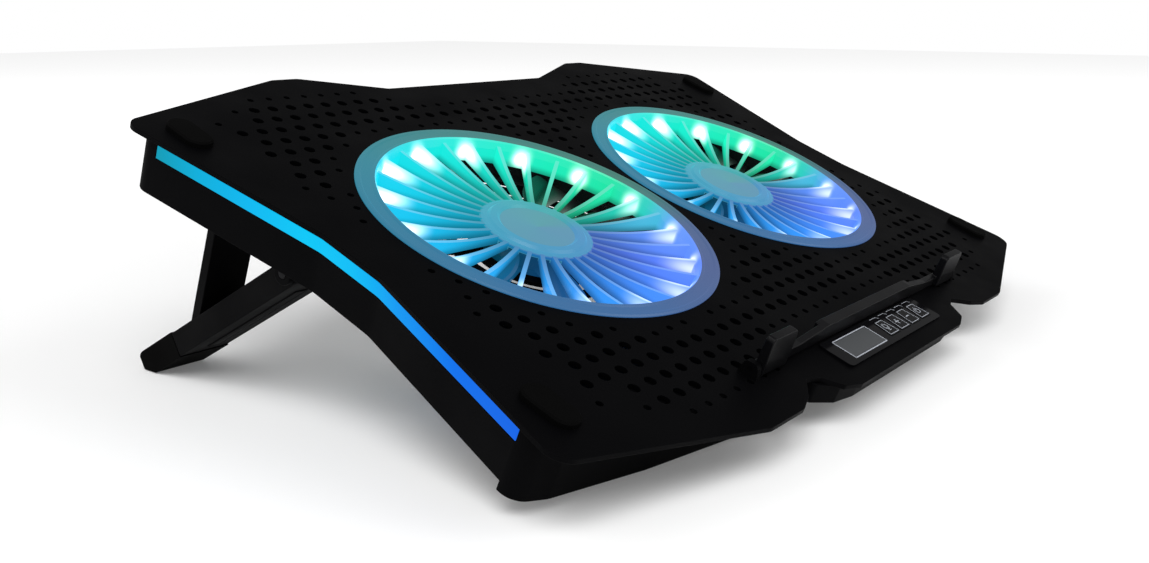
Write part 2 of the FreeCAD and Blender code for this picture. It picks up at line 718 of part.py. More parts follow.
for side, sign in sides:
    pin = x_rod(stopper_pin_radius, sign * (pin_in + 0.5), sign * bracket_out, hinge_y, hinge_z)
    stopper_pins.append(pin)
    post = side_slab([(hinge_y - 4, 0, 0), (hinge_y - 2.6, hinge_z + 2.4, 2),
                      (hinge_y + 2.6, hinge_z + 2.4, 2), (hinge_y + 4, 0, 0)], bracket_in, bracket_out)
    post = post.cut(x_rod(stopper_pin_radius + 0.02, x1, x1 + 10, hinge_y, hinge_z))
    parts["stopper_bracket_" + side] = post if sign > 0 else flipped(post)
parts["stopper_pins"] = Part.makeCompound(stopper_pins)

# ---- rubber pads and front feet -----------------------------------------------------------
pads = []
pad_height = 2.4
for _, sign in sides:
    for y0, y1 in ((82, 104), (-105, -83)):
        pad = plate_block(sign * 182 - 5.5, sign * 182 + 5.5, y0, y1, 0, pad_height, 5.4)
        pads.append(pad.makeChamfer(0.7, [e for e in pad.Edges if abs(e.BoundBox.ZMin - pad_height) < 0.01]))
parts["grip_pads"] = Part.makeCompound(pads)

for side, sign in sides:
    foot = plate_block(64, 102, front_wall_y + 6.4, front_wall_y + 17.4, -31.0, floor_bottom, 3.0)
    foot = foot.cut(below_table(table_distance))
    parts["front_foot_" + side] = foot if sign > 0 else flipped(foot)

# ---- legs, drawn straight down from their hinge, then swung back --------------------------
half_depth = leg_depth / 2
foot_swell = 0.4        # the rubber foot stands this proud of the leg
ridge_height = 0.5
leg_in = leg_outer - leg_width
pocket_half = prop_width / 2 + prop_side_gap
pocket_floor = 0.3
prop_x = leg_middle
prop_offset = pocket_floor + 0.3 + prop_thickness / 2
tenon_length = 9.0
tenon_inset = 4.0


def swung(shape):
    """Leg piece drawn about the origin, turned to its angle and hung on the hinge."""
    shape.rotate(V(0, 0, 0), V(1, 0, 0), leg_angle)
    shape.translate(V(0, leg_hinge[0], leg_hinge[1]))
    return shape


def leg_body():
    """Straight leg with a barrel at its hinge, a pocket for the prop and a tenon for the foot."""
    body = block(leg_in, leg_outer, -half_depth, half_depth, -leg_length, 0)
    ridge = block(leg_middle - 3, leg_middle + 3, -half_depth - ridge_height, -half_depth,
                  -leg_length + 8, -12)
    barrel = x_rod(half_depth, leg_in, leg_outer, 0, 0)
    tenon = block(leg_in + tenon_inset, leg_outer - tenon_inset, -3, 3,
                  -leg_length - tenon_length, -leg_length)
    body = fused([body, ridge, barrel, tenon])
    pocket = block(prop_x - pocket_half, prop_x + pocket_half, pocket_floor, half_depth + 1,
                   -prop_pivot - 5, -prop_pivot + prop_length + 3)
    body = body.cut(pocket)
    body = body.cut(x_rod(leg_pin_radius + running_clearance, leg_in - 1, leg_outer + 1, 0, 0))
    return body.cut(x_rod(prop_pin_radius + 0.02, leg_in + 0.6, leg_outer - 0.6, prop_offset, -prop_pivot))


def leg_foot():
    """Rubber shoe over the leg's tenon, with a round end and its inner side cut short."""
    low = -leg_length - leg_foot_length
    top = -leg_length - 0.2
    reach = half_depth + foot_swell
    foot = front_slab([(leg_in, top, 0), (leg_outer, top, 0), (leg_outer, low, 2),
                       (leg_in, low + leg_end_slant, 2)], -reach, reach)
    side = side_slab([(-reach, top, 0), (-reach, low, reach - 0.1), (reach, low, reach - 0.1),
                      (reach, top, 0)], leg_in, leg_outer)
    foot = foot.common(side)
    return foot.cut(block(leg_in + tenon_inset - fit_gap, leg_outer - tenon_inset + fit_gap, -3 - fit_gap,
                          3 + fit_gap, -leg_length - tenon_length - 0.2, top))


def prop():
    """Strut on the leg, drawn square to the pad as it stands when the leg is out."""
    strut = block(prop_x - prop_width / 2, prop_x + prop_width / 2, -prop_thickness / 2, prop_thickness / 2,
                  0, prop_length - prop_thickness / 2)
    ends = [x_rod(prop_thickness / 2, prop_x - prop_width / 2, prop_x + prop_width / 2, 0, z)
            for z in (0, prop_length - prop_thickness / 2)]
    whole = fused([strut] + ends)
    return whole.cut(x_rod(prop_pin_radius + running_clearance, 0, 300, 0, 0))


turn = math.radians(leg_angle)
prop_base = V(0, leg_hinge[0] + prop_pivot * math.sin(turn) + prop_offset * math.cos(turn),
              leg_hinge[1] - prop_pivot * math.cos(turn) + prop_offset * math.sin(turn))
prop_tip_z = prop_base.z + prop_length
rack_notches = 3
rack_step = 9.0
rack_slot = prop_thickness + 1.2
rack_bottom = prop_tip_z - 3.0
rack_width = prop_width + 4.0


def rack():
    """Block under the floor whose notches take the prop's end."""
    first = prop_base.y - rack_slot / 2 - 3.5
    last = first + rack_notches * rack_step + 1.5
    body = block(prop_x - rack_width / 2, prop_x + rack_width / 2, first, last, rack_bottom, floor_bottom)
    for i in range(rack_notches):
        y = prop_base.y + i * rack_step
        body = body.cut(block(prop_x - 50, prop_x + 50, y - rack_slot / 2, y + rack_slot / 2, rack_bottom - 1,
                              prop_tip_z + 0.3))
    return body


leg_pins = []
for side, sign in sides:
    foot = swung(leg_foot()).cut(below_table(table_distance))
    strut = prop()
    strut.translate(prop_base)
    prop_pin = swung(x_rod(prop_pin_radius, leg_in + 0.8, leg_outer - 0.8, prop_offset, -prop_pivot))
    pin = x_rod(leg_pin_radius, pin_inner, pin_outer, *leg_hinge)
    made = {"leg": swung(leg_body()), "leg_foot": foot, "prop": strut, "prop_pin": prop_pin,
            "prop_rack": rack()}
    for name, piece in made.items():
        parts[name + "_" + side] = piece if sign > 0 else flipped(piece)
    leg_pins.append(pin if sign > 0 else flipped(pin))
parts["leg_pins"] = Part.makeCompound(leg_pins)


# ---- screws and internal leads ------------------------------------------------------------
def screw(x, y, head_z, tip_z):
    """Pan-head screw along Z; the head is on the head_z side."""
    up = 1 if tip_z > head_z else -1
    head = rod(2.6, V(x, y, head_z), V(x, y, head_z + up * 1.1))
    return fused([head, rod(screw_radius, V(x, y, head_z), V(x, y, tip_z))])


parts["shell_screws"] = Part.makeCompound(
    [screw(x, y, floor_bottom + 0.05, plate_bottom - 0.1) for x, y in screw_spots])
parts["fan_screws"] = Part.makeCompound(
    [screw(x, y, housing_base_top + 1.1, floor_bottom - 2.4) for x, y in fan_screw_spots])

lead_radius = 0.8


def lead(points):
    """Round lead: straight runs joined by tangent arcs."""
    path = []
    last = points[0]
    for i in range(1, len(points) - 1):
        here = points[i]
        back = points[i - 1] - here
        ahead = points[i + 1] - here
        run = min(back.Length, ahead.Length)
        half = back.getAngle(ahead) / 2
        reach = 0.45 * run
        middle = (back.normalize() + ahead.normalize()).normalize()
        start = here + back * reach
        end = here + ahead * reach
        radius = reach * math.tan(half)
        crown = here + middle * (radius / math.sin(half) - radius)
        path.append(Part.LineSegment(last, start).toShape())
        path.append(Part.Arc(start, crown, end).toShape())
        last = end
    path.append(Part.LineSegment(last, points[-1]).toShape())
    spine = Part.Wire(path)
    disc = Part.Wire(Part.makeCircle(lead_radius, points[0], points[1] - points[0]))
    return spine.makePipeShell([disc], True, True)


lead_z = floor_top + lead_radius + 0.1
for side, sign in sides:
    parts["fan_lead_" + side] = lead([
        V(sign * 52, -71.5, lead_z), V(sign * 47, -84, lead_z), V(sign * 42, -96, lead_z + 1.5),
        V(sign * 40, -106, lead_z + 3.0), V(sign * 40, -111.9, lead_z + 3.4)])
parts["usb_lead"] = lead([
    V(-1.2, socket_front_y - wall_thickness - 20.2, lead_z + 0.6), V(-0.8, 70, lead_z), V(0.8, 30, lead_z),
    V(-0.6, -20, lead_z), V(0.6, -70, lead_z), V(0, -100, lead_z + 2.4), V(0, -111.9, lead_z + 3.4)])


# ---- set the pad down on the table --------------------------------------------------------
def tilted(shape):
    turned = shape.copy()
    turned.rotate(V(0, 0, 0), V(1, 0, 0), tilt)
    return turned


reach_boxes = [tilted(parts[name]).optimalBoundingBox(False, False)
               for name in ("mesh_plate", "leg_foot_left", "leg_foot_right")]
middle_y = (min(box.YMin for box in reach_boxes) + max(box.YMax for box in reach_boxes)) / 2
offset = V(0, -middle_y, table_distance)


def place(shape):
    """From the pad's frame to the finished part's frame: tilted, and standing on z = 0."""
    moved = tilted(shape)
    moved.translate(offset)
    return moved


def place_point(x, y, z):
    return FreeCAD.Rotation(V(1, 0, 0), tilt).multVec(V(x, y, z)) + offset


os.makedirs("parts", exist_ok=True)
for name, shape in parts.items():
    place(shape).exportStep(os.path.join("parts", name + ".step"))
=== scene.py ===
import bpy
import bmesh
import json
import math
from mathutils import Matrix, Vector


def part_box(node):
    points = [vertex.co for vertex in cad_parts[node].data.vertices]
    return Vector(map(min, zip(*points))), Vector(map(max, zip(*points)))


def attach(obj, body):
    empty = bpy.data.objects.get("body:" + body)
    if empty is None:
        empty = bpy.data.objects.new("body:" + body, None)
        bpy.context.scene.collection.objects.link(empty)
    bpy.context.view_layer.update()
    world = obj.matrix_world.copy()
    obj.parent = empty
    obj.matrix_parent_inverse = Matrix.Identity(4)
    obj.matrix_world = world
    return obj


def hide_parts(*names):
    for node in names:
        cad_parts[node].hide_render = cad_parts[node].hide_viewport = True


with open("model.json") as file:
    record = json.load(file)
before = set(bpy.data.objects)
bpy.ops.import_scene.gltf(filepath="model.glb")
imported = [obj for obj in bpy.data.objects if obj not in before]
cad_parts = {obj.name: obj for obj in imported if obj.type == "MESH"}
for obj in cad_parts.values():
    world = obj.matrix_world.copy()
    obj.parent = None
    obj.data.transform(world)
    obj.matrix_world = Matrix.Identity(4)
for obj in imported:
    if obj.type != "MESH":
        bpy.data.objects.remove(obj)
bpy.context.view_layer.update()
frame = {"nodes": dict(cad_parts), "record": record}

# ---- Where the pad stands -----------------------------------------------------------------
# The plate is tipped towards the user on its rear legs. Its own frame has X along the width,
# Y up the slope and Z square to the plate, and starts midway between the two fans.
rotor_depth = 0.012
joints = {joint["name"]: joint for joint in frame["record"]["behaviour"]["joints"]}
plate_normal = Vector(joints["left_fan_spin"]["axis"])
tilt = math.atan2(-plate_normal.y, plate_normal.z)
fan_half_pitch = joints["right_fan_spin"]["pos_m"][0]
left_fan_top = Vector(joints["left_fan_spin"]["pos_m"]) + plate_normal * rotor_depth
pad_origin = left_fan_top + Vector((fan_half_pitch, 0, 0))
pad_turn = Matrix.Rotation(tilt, 4, "X")
pad_matrix = Matrix.Translation(pad_origin) @ pad_turn

# ---- Studio: camera, floor and lights -----------------------------------------------------
# A camera a little above the plate, to the left of the pad's front corner.
# The floor is a wide pale sheet, lit by large soft panels so that black edges still read.
camera_data = bpy.data.cameras.new("camera")
camera_data.lens = 35.5
camera_data.sensor_width = 36.0
camera_data.clip_start = 0.01
camera = bpy.data.objects.new("camera", camera_data)
bpy.context.collection.objects.link(camera)
camera.location = pad_matrix @ Vector((-0.4324, -0.2376, 0.1831))
camera.rotation_euler = (math.radians(76.6), 0, math.radians(-52.45))
bpy.context.scene.camera = camera
bpy.context.scene.view_settings.view_transform = "Standard"


def linear(code):
    """An sRGB hex colour as linear RGBA."""
    channels = [int(code[i:i + 2], 16) / 255 for i in (1, 3, 5)]
    return [c / 12.92 if c <= 0.04045 else ((c + 0.055) / 1.055) ** 2.4 for c in channels] + [1.0]


def add_node(owner, kind, inputs=None, **settings):
    """Add one shader node with its settings; an input is a value, a socket, or a node's first output."""
    made = owner.node_tree.nodes.new("ShaderNode" + kind)
    for key, value in settings.items():
        setattr(made, key, value)
    for key, value in (inputs or {}).items():
        if isinstance(value, bpy.types.Node):
            value = value.outputs[0]
        if isinstance(value, bpy.types.NodeSocket):
            owner.node_tree.links.new(value, made.inputs[key])
        else:
            made.inputs[key].default_value = value
    return made


def new_material(name, colour, roughness, **surface):
    """A Principled material; surface names other shader sockets, with _ for a space."""
    material = bpy.data.materials.new(name)
    material.use_nodes = True
    shader = material.node_tree.nodes["Principled BSDF"]
    shader.inputs["Base Color"].default_value = linear(colour)
    shader.inputs["Roughness"].default_value = roughness
    for key, value in surface.items():
        shader.inputs[key.replace("_", " ")].default_value = value
    return material


def drive(material, socket, node):
    """Let a node's first output drive one socket of the material's shader."""
    shader = material.node_tree.nodes["Principled BSDF"]
    material.node_tree.links.new(node.outputs[0], shader.inputs[socket])


def new_piece(name, mesh_maker, material, body):
    """A mesh object at the origin from a bmesh, with its finish and the body it rides on."""
    mesh = bpy.data.meshes.new(name)
    work = bmesh.new()
    mesh_maker(work)
    work.to_mesh(mesh)
    work.free()
    mesh.materials.append(material)
    piece = bpy.data.objects.new(name, mesh)
    bpy.context.collection.objects.link(piece)
    mesh.shade_smooth()
    mesh.set_sharp_from_angle(angle=math.radians(35))
    if body:
        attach(piece, body)
    return piece


# matt white paper, with painted light: an emission that is weak in the middle and grows outwards, so the
# floor far off reads white
sheet_half_width = 4.0
sheet_drop = 0.0005
glow_start = 0.22
glow_end = 1.3
floor_paper = new_material("studio_floor", "#F0F0F0", 0.9, Emission_Color=linear("#FFFFFF"))
floor_place = add_node(floor_paper, "TexCoord").outputs["Object"]
floor_reach = add_node(floor_paper, "VectorMath", {0: floor_place}, operation="LENGTH").outputs["Value"]
drive(floor_paper, "Emission Strength", add_node(floor_paper, "MapRange", {
    "Value": floor_reach, "From Min": glow_start, "From Max": glow_end, "To Min": 0.12, "To Max": 0.6}))


def floor_sheet(work):
    bmesh.ops.create_grid(work, x_segments=1, y_segments=1, size=sheet_half_width)
    bmesh.ops.translate(work, vec=(0, 0, -sheet_drop), verts=work.verts)


new_piece("studio_floor", floor_sheet, floor_paper, None)

panel_size = 1.4
panel_aim = Vector((0, 0, 0.05))
for name, place, power in (
        ("key_panel", (-1.1, -0.8, 1.7), 34),
        ("fill_panel", (0.9, -1.6, 1.3), 16),
        ("rear_panel", (-0.9, 1.6, 1.4), 9)):
    lamp_data = bpy.data.lights.new(name, "AREA")
    lamp_data.size = panel_size
    lamp_data.energy = power
    lamp = bpy.data.objects.new(name, lamp_data)
    bpy.context.collection.objects.link(lamp)
    lamp.location = place
    lamp.rotation_euler = (panel_aim - Vector(place)).to_track_quat("-Z", "Y").to_euler()

# the backdrop is white to look at, but lights the pad only softly, so that black stays black
world = bpy.data.worlds.new("studio")
world.use_nodes = True
backdrop = world.node_tree.nodes["Background"]
seen_directly = add_node(world, "LightPath").outputs["Is Camera Ray"]
backdrop_strength = add_node(world, "MapRange", {"Value": seen_directly, "To Min": 0.32, "To Max": 1.0})
world.node_tree.links.new(backdrop_strength.outputs["Result"], backdrop.inputs["Strength"])
backdrop.inputs["Color"].default_value = linear("#FFFFFF")
bpy.context.scene.world = world

# ---- Bottom shell, tray, frame and stopper -------------------------------------------------
# Injection-moulded black ABS, screwed and clipped together under the plate.
# Moulded edges are never sharp, so the shell, the tray and the stopper get a small rounded edge.
cloud_scale = 35.0


def add_grain(material, grain_mm, depth, low, high):
    """Fine grain in the bump, and a broad, slight drift in the roughness between low and high."""
    place = add_node(material, "TexCoord").outputs["Object"]
    fine = add_node(material, "TexNoise", {"Vector": place, "Scale": 1000 / grain_mm, "Detail": 3.0})
    broad = add_node(material, "TexNoise", {"Vector": place, "Scale": cloud_scale, "Detail": 2.0})
    drive(material, "Roughness", add_node(material, "MapRange", {
        "Value": broad, "From Min": 0.3, "From Max": 0.7, "To Min": low, "To Max": high}))
    drive(material, "Normal", add_node(material, "Bump", {
        "Height": fine, "Strength": 0.5, "Distance": depth}))


# spark-grained ABS: deep black, soft highlights, sparkle only at grazing angles;
# the real grain of about 0.1 mm would not show, so it is drawn at 0.5 mm
abs_black = new_material("spark_grained_abs", "#050506", 0.55, Specular_IOR_Level=0.02)
add_grain(abs_black, 0.5, 0.00005, 0.48, 0.60)


def softened(node, name, material, width_mm, body):
    """A merged copy of a CAD node with small rounded edges, standing for that node."""
    source = frame["nodes"][node]

    def copy_mesh(work):
        work.from_mesh(source.data)
        bmesh.ops.remove_doubles(work, verts=work.verts, dist=0.000002)
        bmesh.ops.dissolve_limit(work, angle_limit=math.radians(0.5), verts=work.verts, edges=work.edges)

    piece = new_piece(name, copy_mesh, material, body)
    rounding = piece.modifiers.new("rounded edges", "BEVEL")
    rounding.width = width_mm / 1000
    rounding.segments = 2
    rounding.limit_method = "ANGLE"
    rounding.angle_limit = math.radians(40)
    rounding.use_clamp_overlap = False
    rounding.harden_normals = True
    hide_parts(node)


def finish_nodes(material, *nodes):
    """Give CAD nodes their finish, on every material slot."""
    for node in nodes:
        mesh = frame["nodes"][node].data
        if not mesh.materials:
            mesh.materials.append(material)
        for i in range(len(mesh.materials)):
            mesh.materials[i] = material


finish_nodes(abs_black, "upper_frame", "stopper_bracket_left", "stopper_bracket_right",
             "prop_rack_left", "prop_rack_right")
softened("bottom_shell", "shell_skin", abs_black, 0.35, "pad")
softened("control_tray", "tray_skin", abs_black, 0.3, "pad")

# satin ABS: a smoother grade for the stopper and the switches, so its edges catch the light
satin_abs = new_material("satin_moulded_abs", "#060608", 0.38, Specular_IOR_Level=0.10)
add_grain(satin_abs, 0.8, 0.00004, 0.32, 0.46)
softened("stopper", "stopper_skin", satin_abs, 0.45, "stopper_frame")

# ---- Perforated top plate -----------------------------------------------------------------
# Sheet steel, pressed and punched, with a fine black powder coat baked on.
# It is dull and even, with the faint orange peel of powder, drawn at 0.8 mm.
powder_coat = new_material("fine_powder_coat", "#040405", 0.5, Specular_IOR_Level=0.02)
add_grain(powder_coat, 0.8, 0.00008, 0.42, 0.55)
softened("mesh_plate", "plate_skin", powder_coat, 0.2, "pad")

# ---- Fans ---------------------------------------------------------------------------------
# Each fan has a guard of frosted acrylic, moulded in one piece, that carries the light of the
# lamps round its wall; that light is painted into the acrylic as emission. Under it turns a black
# rotor in a black housing, on a steel shaft, with painted lamp light on the side near the user.
lamp_count = 15
lamp_phase = math.radians(0.5)
lamp_depth = 0.0055
lamp_sharpness = 260.0
insert_radius = 0.0161
hub_radius = 0.0240
guard_throat = 0.0672
wall_outside = 0.0690


def set_stops(ramp, stops):
    """Fill a colour ramp with (position, hex) stops."""
    elements = ramp.color_ramp.elements
    elements[0].position, elements[0].color = stops[0][0], linear(stops[0][1])
    elements[1].position, elements[1].color = stops[-1][0], linear(stops[-1][1])
    for position, code in stops[1:-1]:
        elements.new(position).color = linear(code)


def place_round_fan(material, centre):
    """Sockets for x, y and z from a fan's centre in the plate's frame, and radius and angle round it."""
    shift = -(pad_turn.inverted() @ (pad_matrix @ centre))
    place = add_node(material, "TexCoord").outputs["Object"]
    local = add_node(material, "Mapping", {"Vector": place, "Location": shift, "Rotation": (-tilt, 0, 0)})
    x, y, z = add_node(material, "SeparateXYZ", {"Vector": local}).outputs
    flat = add_node(material, "CombineXYZ", {"X": x, "Y": y})
    radius = add_node(material, "VectorMath", {0: flat}, operation="LENGTH").outputs["Value"]
    angle = add_node(material, "Math", {0: y, 1: x}, operation="ARCTAN2").outputs[0]
    return x, y, z, radius, angle


def lamp_hue(material, angle):
    """Colour that the lamps give round the fan: blue near the user, cyan to green at the back."""
    around = add_node(material, "Math", {0: angle, 1: 0.5 / math.pi, 2: 0.5}, operation="MULTIPLY_ADD")
    ramp = add_node(material, "ValToRGB", {"Fac": around})
    set_stops(ramp, [
        (0.0, "#18B8F0"), (0.10, "#28A0F4"), (0.22, "#3490FA"), (0.35, "#5A80FF"), (0.43, "#5E90F8"),
        (0.48, "#28C8BC"), (0.53, "#18E0A0"), (0.61, "#14E8B8"), (0.72, "#10E4D4"), (0.86, "#08D0EC"),
        (1.0, "#18B8F0")])
    return ramp


def black_with_painted_lamp_glow(name, centre):
    """Satin black ABS under the guard, with the lamps' light painted on as emission on the side near the
    user.
    """
    material = new_material(name, "#060708", 0.3)
    x, y, z, radius, angle = place_round_fan(material, centre)
    # painted light: emission in the lamps' hue, strongest towards the user and only inside the guard's
    # throat
    toward_user = add_node(material, "Math", {0: x, 1: y}, operation="ADD")
    glow = add_node(material, "MapRange", {
        "Value": toward_user, "From Min": 0.005, "From Max": -0.060, "To Max": 0.26},
        interpolation_type="SMOOTHSTEP")
    under_guard = add_node(material, "Math", {0: radius, 1: guard_throat}, operation="LESS_THAN")
    drive(material, "Emission Color", lamp_hue(material, angle))
    drive(material, "Emission Strength", add_node(material, "Math", {0: glow, 1: under_guard},
                                                  operation="MULTIPLY"))
    add_grain(material, 1.2, 0.00003, 0.26, 0.38)
    return material


def painted_lamp_spots(material, z, radius, angle):
    """A painted spot of light for each lamp, at a steady step round the wall and fading up, down and
    inwards.
    """
    wave = add_node(material, "Math", {0: angle, 1: lamp_count, 2: -lamp_phase * lamp_count},
                    operation="MULTIPLY_ADD")
    wave = add_node(material, "Math", {0: wave}, operation="COSINE")
    wave = add_node(material, "Math", {0: wave, 1: 0.0}, operation="MAXIMUM")
    spot = add_node(material, "Math", {0: wave, 1: 3.0}, operation="POWER")
    near_wall = add_node(material, "MapRange", {"Value": radius, "From Min": 0.050, "From Max": 0.0665},
                         interpolation_type="SMOOTHSTEP")
    inside = add_node(material, "Math", {0: radius, 1: wall_outside}, operation="LESS_THAN")
    height = add_node(material, "Math", {0: z, 1: lamp_sharpness, 2: lamp_depth * lamp_sharpness},
                      operation="MULTIPLY_ADD")
    height_squared = add_node(material, "Math", {0: height, 1: height}, operation="MULTIPLY")
    drop = add_node(material, "Math", {0: height_squared, 1: -1.0}, operation="MULTIPLY")
    band = add_node(material, "Math", {0: drop}, operation="EXPONENT")
    for share in (near_wall, inside, band):
        spot = add_node(material, "Math", {0: spot, 1: share}, operation="MULTIPLY")
    return spot


def acrylic_with_painted_glow(name, centre):
    """Frosted acrylic with the lamps' light painted in as emission: saturated in the wall and ribs, greyer
    on the hub and the flange.
    """
    material = new_material(name, "#1C2C34", 0.34, Specular_IOR_Level=0.25)
    x, y, z, radius, angle = place_round_fan(material, centre)
    hue = lamp_hue(material, angle)
    spot = painted_lamp_spots(material, z, radius, angle)
    flange = add_node(material, "Math", {0: radius, 1: wall_outside}, operation="GREATER_THAN")
    hub = add_node(material, "Math", {0: radius, 1: hub_radius}, operation="LESS_THAN")
    insert = add_node(material, "Math", {0: radius, 1: insert_radius}, operation="LESS_THAN")

    # painted highlight: faces that look up, such as the top edges of the ribs, are drawn paler than their
    # flanks
    normal = add_node(material, "NewGeometry").outputs["Normal"]
    facing_up = add_node(material, "VectorMath", {0: normal, 1: plate_normal},
                         operation="DOT_PRODUCT").outputs["Value"]
    painted_top_highlight = add_node(material, "MapRange", {
        "Value": facing_up, "From Min": 0.5, "From Max": 0.95, "To Max": 0.22},
        interpolation_type="SMOOTHSTEP")
    flange_greying = add_node(material, "MapRange", {
        "Value": x, "From Min": -0.07, "From Max": 0.05, "To Min": 0.20, "To Max": 0.54},
        interpolation_type="SMOOTHSTEP")
    insert_greying = add_node(material, "Math", {0: insert, 1: 0.6}, operation="MULTIPLY")
    flange_grey = add_node(material, "Mix", {"Factor": flange_greying, 6: hue, 7: linear("#808CA0")},
                           data_type="RGBA").outputs[2]
    hub_grey = add_node(material, "Mix", {"Factor": 0.72, 6: hue, 7: linear("#54B0CC")},
                        data_type="RGBA").outputs[2]
    colour = hue.outputs[0]
    for share, tint in ((painted_top_highlight, linear("#A8D0E8")), (flange, flange_grey), (hub, hub_grey),
                        (insert_greying, linear("#70A8B8")), (spot, linear("#FFFFFF"))):
        blend = add_node(material, "Mix", {"Factor": share, 6: colour, 7: tint}, data_type="RGBA")
        colour = blend.outputs[2]
    shader = material.node_tree.nodes["Principled BSDF"]
    material.node_tree.links.new(colour, shader.inputs["Emission Color"])

    # painted light: the wall and the outer ends of the ribs are drawn brightest, lower down weaker, and
    # the flange outside dim
    strength = add_node(material, "MapRange", {
        "Value": radius, "From Min": 0.020, "From Max": 0.060, "To Min": 0.48, "To Max": 1.03},
        interpolation_type="SMOOTHSTEP")
    low_end = add_node(material, "MapRange", {
        "Value": z, "From Min": -0.0100, "From Max": -0.0060, "To Min": 0.45, "To Max": 1.0},
        interpolation_type="SMOOTHSTEP")
    flange_dimming = add_node(material, "MapRange", {"Value": flange, "To Min": 1.0, "To Max": 0.36})
    for share in (low_end, flange_dimming):
        strength = add_node(material, "Math", {0: strength, 1: share}, operation="MULTIPLY")
    for extra, gain in ((hub, 0.22), (spot, 1.8)):
        strength = add_node(material, "Math", {0: extra, 1: gain, 2: strength}, operation="MULTIPLY_ADD")
    drive(material, "Emission Strength", strength)
    return material


# enamelled copper wire, wound: warm and shiny, with the wire as its grain
copper = new_material("enamelled_copper_wire", "#7A3A1C", 0.35, Metallic=0.9)
add_grain(copper, 0.35, 0.00006, 0.28, 0.42)
# sintered bronze: a soft yellow-brown glint broken by fine pores
bronze = new_material("sintered_bronze", "#8A6A3C", 0.5, Metallic=1.0)
add_grain(bronze, 0.25, 0.00003, 0.42, 0.58)
# bonded ferrite, pressed: dull dark grey
ferrite = new_material("bonded_ferrite", "#2A2A2E", 0.6)
add_grain(ferrite, 0.4, 0.00003, 0.52, 0.68)
# ground steel: bright and close to a mirror, with fine grinding marks
ground_steel = new_material("ground_steel", "#B8BAC0", 0.3, Metallic=1.0)
add_grain(ground_steel, 0.2, 0.00001, 0.24, 0.36)
# white solder mask, printed: a pale, even skin that throws the lamps' light back
lamp_board = new_material("white_solder_mask", "#C8CCC8", 0.4)
add_grain(lamp_board, 0.6, 0.00001, 0.34, 0.46)

for side, sign in (("left", -1), ("right", 1)):
    fan_centre = Vector((sign * fan_half_pitch, 0, 0))
    acrylic = acrylic_with_painted_glow("frosted_acrylic_painted_glow_" + side, fan_centre)
    lit_black = black_with_painted_lamp_glow("satin_abs_painted_glow_" + side, fan_centre)
    finish_nodes(acrylic, "fan_guard_" + side, "fan_cap_" + side)
    # the housing and rotor carry painted lamp light on the side near the user
    finish_nodes(lit_black, "fan_housing_" + side, "fan_rotor_" + side)
    finish_nodes(copper, "fan_stator_" + side)
    finish_nodes(bronze, "fan_bearing_" + side)
    finish_nodes(ferrite, "fan_magnet_" + side)
    finish_nodes(ground_steel, "fan_shaft_" + side)
    finish_nodes(lamp_board, "fan_lights_" + side)

# ---- Side light strips --------------------------------------------------------------------
# A milky polycarbonate bar let into each side wall, lit from a strip of lamps behind it.
# The light is blue at the front and turns to cyan, then teal, towards the back.
strip_light = new_material("milky_lit_polycarbonate", "#04101A", 0.45, Specular_IOR_Level=0.03,
                           Emission_Strength=1.0)
strip_low, strip_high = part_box("light_strip_left")
strip_place = add_node(strip_light, "TexCoord").outputs["Object"]
strip_along = add_node(strip_light, "SeparateXYZ", {"Vector": strip_place}).outputs["Y"]
strip_share = add_node(strip_light, "MapRange", {
    "Value": strip_along, "From Min": strip_low[1], "From Max": strip_high[1]})
strip_colour = add_node(strip_light, "ValToRGB", {"Fac": strip_share})
set_stops(strip_colour, [
    (0.0, "#1464E6"), (0.18, "#0670EB"), (0.36, "#0898F2"), (0.50, "#08BEF6"), (0.62, "#08C8F7"),
    (0.76, "#08B8F0"), (0.89, "#06AEDA"), (1.0, "#0C9AB2")])
drive(strip_light, "Emission Color", strip_colour)
add_grain(strip_light, 0.8, 0.00002, 0.40, 0.52)
finish_nodes(strip_light, "light_strip_left", "light_strip_right")
finish_nodes(lamp_board, "strip_board_left", "strip_board_right")

# ---- Control panel ------------------------------------------------------------------------
# A piano-black acrylic cover with a grey display window and four outlined touch keys,
# printed in white ink and stuck over the circuit board and its four switches.
key_pitch = 0.0112
key_half_width = 0.0040
key_half_depth = 0.0041
key_row_y = -0.1254
first_key_x = 0.0028
display_x = -0.023
display_half_width = 0.0148
display_half_depth = 0.0055
level_mark_count = 5
level_mark_pitch = 0.0085
level_mark_x = 0.0026
level_mark_rise = 0.0068
lens_top = 0.0009
key_top = 0.0011
ink_height = 0.00006

# polished acrylic: near black, with a clear reflection and a slight waviness
piano_black = new_material("piano_black_acrylic", "#060608", 0.14, Specular_IOR_Level=0.08)
add_grain(piano_black, 6.0, 0.000004, 0.11, 0.18)
finish_nodes(piano_black, "control_lens", "light_button", "speed_up_button", "speed_down_button",
             "power_button")
# display glass, unlit: flat mid grey behind a matt film
display_glass = new_material("display_window", "#46484A", 0.35, Specular_IOR_Level=0.1)
add_grain(display_glass, 0.6, 0.00001, 0.30, 0.42)
finish_nodes(display_glass, "lcd_module")
# epoxy solder mask: glossy dark green
solder_mask = new_material("green_solder_mask", "#0E3A24", 0.35)
add_grain(solder_mask, 0.6, 0.00001, 0.30, 0.42)
finish_nodes(solder_mask, "control_board", "usb_board")
finish_nodes(satin_abs, "key_switches")
# screen-printed ink: thin, chalky and slightly grey
ink_white = new_material("screen_printed_ink", "#A4A8B0", 0.5, Specular_IOR_Level=0.2)
add_grain(ink_white, 0.3, 0.00001, 0.44, 0.60)


